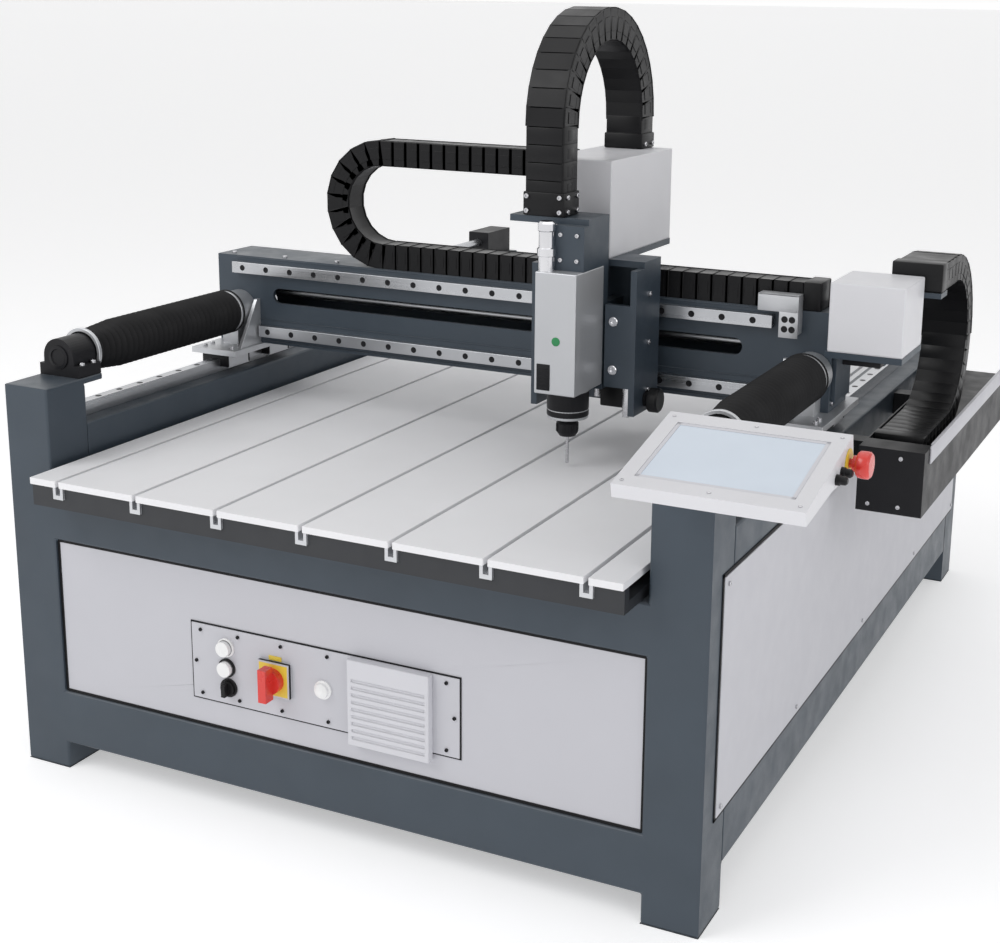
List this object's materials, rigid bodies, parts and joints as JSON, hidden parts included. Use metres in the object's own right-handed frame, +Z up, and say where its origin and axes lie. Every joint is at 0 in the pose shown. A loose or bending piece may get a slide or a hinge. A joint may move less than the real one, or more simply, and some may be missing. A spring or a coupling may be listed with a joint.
{
  "type": "cnc router",
  "caption": "Gantry router with a slotted flat bed, box frame, moving bridge, spindle, drag chains and a tilted control pendant.",
  "frame": {"origin": "middle of the whole machine's box, on the floor", "axes": "+X to the right seen from the front, +Y from front to rear, +Z up"},
  "size_m": [1.591, 2.0249, 1.421],
  "materials": {
    "frame_paint": "satin",
    "panel_sheet": "satin",
    "bed_board": "matt",
    "bed_metal": "satin",
    "steel": "ground",
    "aluminium": "satin",
    "black_metal": "satin",
    "black_plastic": "moulded",
    "black_rubber": "matt",
    "cover_paint": "fine powder coat",
    "filter_plastic": "moulded",
    "red_plastic": "gloss",
    "screen_face": "gloss",
    "white_plastic": "gloss"
  },
  "bodies": {
    "machine_base": {"front_frame": "frame_paint", "rear_frame": "frame_paint", "left_lower_beam": "frame_paint", "right_lower_beam": "frame_paint", "left_rail_beam": "frame_paint", "right_rail_beam": "frame_paint", "left_side_panel": "panel_sheet", "right_side_panel": "panel_sheet", "left_y_rail": "steel", "right_y_rail": "steel", "front_panel": "panel_sheet", "rear_panel": "panel_sheet", "bed_frame": "bed_metal", "bed_plank_1": "bed_board", "bed_plank_2": "bed_board", "bed_plank_3": "bed_board", "bed_plank_4": "bed_board", "bed_plank_5": "bed_board", "bed_plank_6": "bed_board", "bed_plank_7": "bed_board", "bed_plank_8": "bed_board", "control_plate": "panel_sheet", "filter_cover": "filter_plastic", "left_front_bearing": "black_metal", "right_front_bearing": "black_metal", "left_y_motor": "black_metal", "right_y_motor": "black_metal", "left_bellows": "black_rubber", "right_bellows": "black_rubber", "chain_tray": "black_metal", "y_drag_chain": "black_plastic", "pendant_housing": "cover_paint", "pendant_screen": "screen_face", "pendant_bracket": "frame_paint"},
    "gantry": {"gantry_beam": "frame_paint", "left_foot": "aluminium", "right_foot": "aluminium", "upper_x_rail": "steel", "lower_x_rail": "steel", "x_motor_bracket": "frame_paint", "x_motor_cover": "cover_paint", "x_motor": "black_metal", "x_drag_chain": "black_plastic"},
    "carriage": {"carriage_housing": "frame_paint", "z_motor_cover": "cover_paint", "z_motor": "black_metal", "z_drag_chain": "black_plastic"},
    "spindle": {"z_plate": "frame_paint", "spindle_body": "aluminium"},
    "tool": {"collet_nut": "steel", "milling_cutter": "steel"},
    "left_screw": {"left_y_screw": "steel"},
    "right_screw": {"right_y_screw": "steel"},
    "cross_screw": {"x_screw": "steel"},
    "lift_screw": {"z_screw": "steel"},
    "estop": {"estop_button": "red_plastic"},
    "power": {"power_button": "white_plastic"},
    "start": {"start_button": "white_plastic"},
    "main_switch": {"switch_knob": "red_plastic"},
    "selector": {"selector_knob": "black_plastic"}
  },
  "joints": [
    {"name": "gantry_slide", "type": "slide", "parent": "machine_base", "child": "gantry", "axis": [0, 1, 0], "range_m": [-0.33, 0.85], "deforming": ["left_bellows", "right_bellows", "y_drag_chain"]},
    {"name": "carriage_slide", "type": "slide", "parent": "gantry", "child": "carriage", "axis": [1, 0, 0], "range_m": [-0.68, 0.2], "deforming": ["x_drag_chain"]},
    {"name": "spindle_slide", "type": "slide", "parent": "carriage", "child": "spindle", "axis": [0, 0, 1], "range_m": [-0.005, 0.12], "deforming": ["z_drag_chain"]},
    {"name": "tool_spin", "type": "hinge", "parent": "spindle", "child": "tool", "pos_m": [0.135, -0.418, 0.66], "axis": [0, 0, 1], "continuous": true},
    {"name": "left_screw_spin", "type": "hinge", "parent": "machine_base", "child": "left_screw", "pos_m": [-0.741, 0.042, 0.776], "axis": [0, 1, 0], "continuous": true},
    {"name": "right_screw_spin", "type": "hinge", "parent": "machine_base", "child": "right_screw", "pos_m": [0.529, 0.042, 0.776], "axis": [0, 1, 0], "continuous": true},
    {"name": "cross_screw_spin", "type": "hinge", "parent": "gantry", "child": "cross_screw", "pos_m": [-0.106, -0.158, 0.81], "axis": [1, 0, 0], "continuous": true},
    {"name": "lift_screw_spin", "type": "hinge", "parent": "carriage", "child": "lift_screw", "pos_m": [0.135, -0.28, 0.836], "axis": [0, 0, 1], "continuous": true},
    {"name": "estop_press", "type": "slide", "parent": "machine_base", "child": "estop", "axis": [-1, 0, 0], "range_m": [0, 0.005], "stiffness_N_per_m": 600},
    {"name": "power_press", "type": "slide", "parent": "machine_base", "child": "power", "axis": [0, 1, 0], "range_m": [0, 0.004], "stiffness_N_per_m": 400},
    {"name": "start_press", "type": "slide", "parent": "machine_base", "child": "start", "axis": [0, 1, 0], "range_m": [0, 0.004], "stiffness_N_per_m": 400},
    {"name": "switch_turn", "type": "hinge", "parent": "machine_base", "child": "main_switch", "pos_m": [-0.213, -0.858, 0.28], "axis": [0, -1, 0], "range_deg": [0, 90]},
    {"name": "selector_turn", "type": "hinge", "parent": "machine_base", "child": "selector", "pos_m": [-0.313, -0.858, 0.242], "axis": [0, -1, 0], "range_deg": [-45, 45]}
  ],
  "couplings": [
    {"joint": "left_screw_spin", "follows": "gantry_slide", "rad_per_m": 628.32},
    {"joint": "right_screw_spin", "follows": "gantry_slide", "rad_per_m": 628.32},
    {"joint": "cross_screw_spin", "follows": "carriage_slide", "rad_per_m": 628.32},
    {"joint": "lift_screw_spin", "follows": "spindle_slide", "rad_per_m": 628.32}
  ]
}
